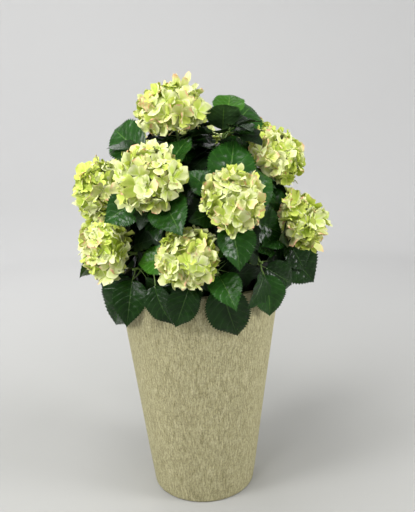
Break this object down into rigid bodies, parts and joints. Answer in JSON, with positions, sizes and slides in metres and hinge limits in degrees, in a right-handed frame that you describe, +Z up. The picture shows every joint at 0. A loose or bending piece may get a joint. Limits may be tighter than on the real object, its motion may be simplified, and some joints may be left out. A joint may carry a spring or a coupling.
{
  "type": "potted hydrangea shrub",
  "caption": "Mophead hydrangea shrub with round flower heads and broad leaves on many canes, growing from a tall round tapered planter.",
  "frame": {"origin": "centre of the planter's flat underside", "axes": "+Z up along the planter's axis, front towards -Y"},
  "size_m": [0.6339, 0.6381, 1.1064],
  "materials": {
    "planter": "stone-like fibre clay with fine upright streaks",
    "soil": "dark moist potting soil",
    "wood": "rough woody stem base",
    "cane": "green-brown young bark",
    "bloom": "soft lime and cream sepals over green leaves",
    "leaves": "glossy deep green leaves"
  },
  "bodies": {
    "root": {"planter": "planter", "soil": "soil", "stem_base": "wood", "cane_back_left": "cane", "cane_back_right": "cane", "cane_back_top": "cane", "cane_centre": "cane", "cane_far_left": "cane", "cane_left_shoulder": "cane", "cane_low_front": "cane", "cane_low_left": "cane", "cane_low_right": "cane", "cane_mid_right": "cane", "cane_rear_left": "cane", "cane_rear_low_left": "cane", "cane_rear_low_right": "cane", "cane_rear_right": "cane", "cane_side_left": "cane", "cane_skirt_far_right": "cane", "cane_skirt_front": "cane", "cane_skirt_front_left": "cane", "cane_skirt_left": "cane", "cane_skirt_rear": "cane", "cane_skirt_rear_left": "cane", "cane_skirt_rear_right": "cane", "cane_skirt_right": "cane", "cane_skirt_side_left": "cane", "cane_top": "cane", "cane_top_right": "cane", "cane_upper_left": "cane", "cane_upper_right": "cane", "bloom_back_left": "bloom", "bloom_back_right": "bloom", "bloom_back_top": "bloom", "bloom_far_left": "bloom", "bloom_low_front": "bloom", "bloom_low_left": "bloom", "bloom_low_right": "bloom", "bloom_mid_right": "bloom", "bloom_rear_left": "bloom", "bloom_rear_low_left": "bloom", "bloom_rear_low_right": "bloom", "bloom_rear_right": "bloom", "bloom_side_left": "bloom", "bloom_top": "bloom", "bloom_upper_left": "bloom", "bloom_upper_right": "bloom", "leaves_centre": "leaves", "leaves_left_shoulder": "leaves", "leaves_skirt_far_right": "leaves", "leaves_skirt_front": "leaves", "leaves_skirt_front_left": "leaves", "leaves_skirt_left": "leaves", "leaves_skirt_rear": "leaves", "leaves_skirt_rear_left": "leaves", "leaves_skirt_rear_right": "leaves", "leaves_skirt_right": "leaves", "leaves_skirt_side_left": "leaves", "leaves_top_right": "leaves"}
  },
  "joints": []
}
